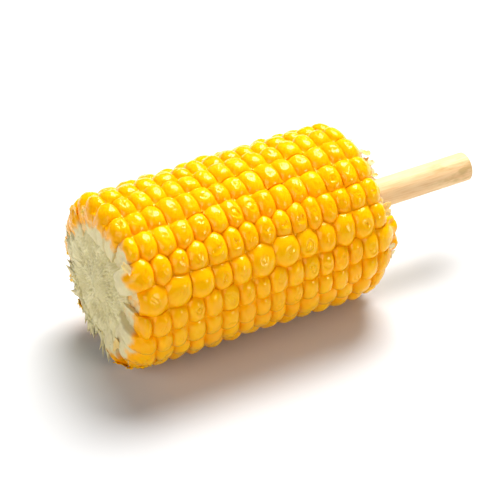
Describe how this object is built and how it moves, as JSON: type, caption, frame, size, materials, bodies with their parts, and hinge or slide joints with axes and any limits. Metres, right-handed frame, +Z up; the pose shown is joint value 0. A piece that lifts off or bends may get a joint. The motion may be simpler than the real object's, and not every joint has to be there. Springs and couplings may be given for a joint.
{
  "type": "corn on the cob on a stick",
  "caption": "Short length of cooked sweetcorn ear with full kernels, one end snapped off, on a round wooden stick, lying on its side.",
  "frame": {"origin": "on the surface that the ear lies on, under the middle of the box round the ear and its stick", "axes": "+X along the ear towards the stick's free end, +Z up"},
  "size_m": [0.1204, 0.0514, 0.0509],
  "materials": {
    "cooked_kernel": "moist skin of cooked sweetcorn kernels",
    "woody_cob": "rough, fibrous and pale, as snapped",
    "bare_wood": "bare, smooth-turned pale wood"
  },
  "bodies": {
    "root": {"kernels": "cooked_kernel", "cob": "woody_cob", "stick": "bare_wood"}
  },
  "joints": []
}
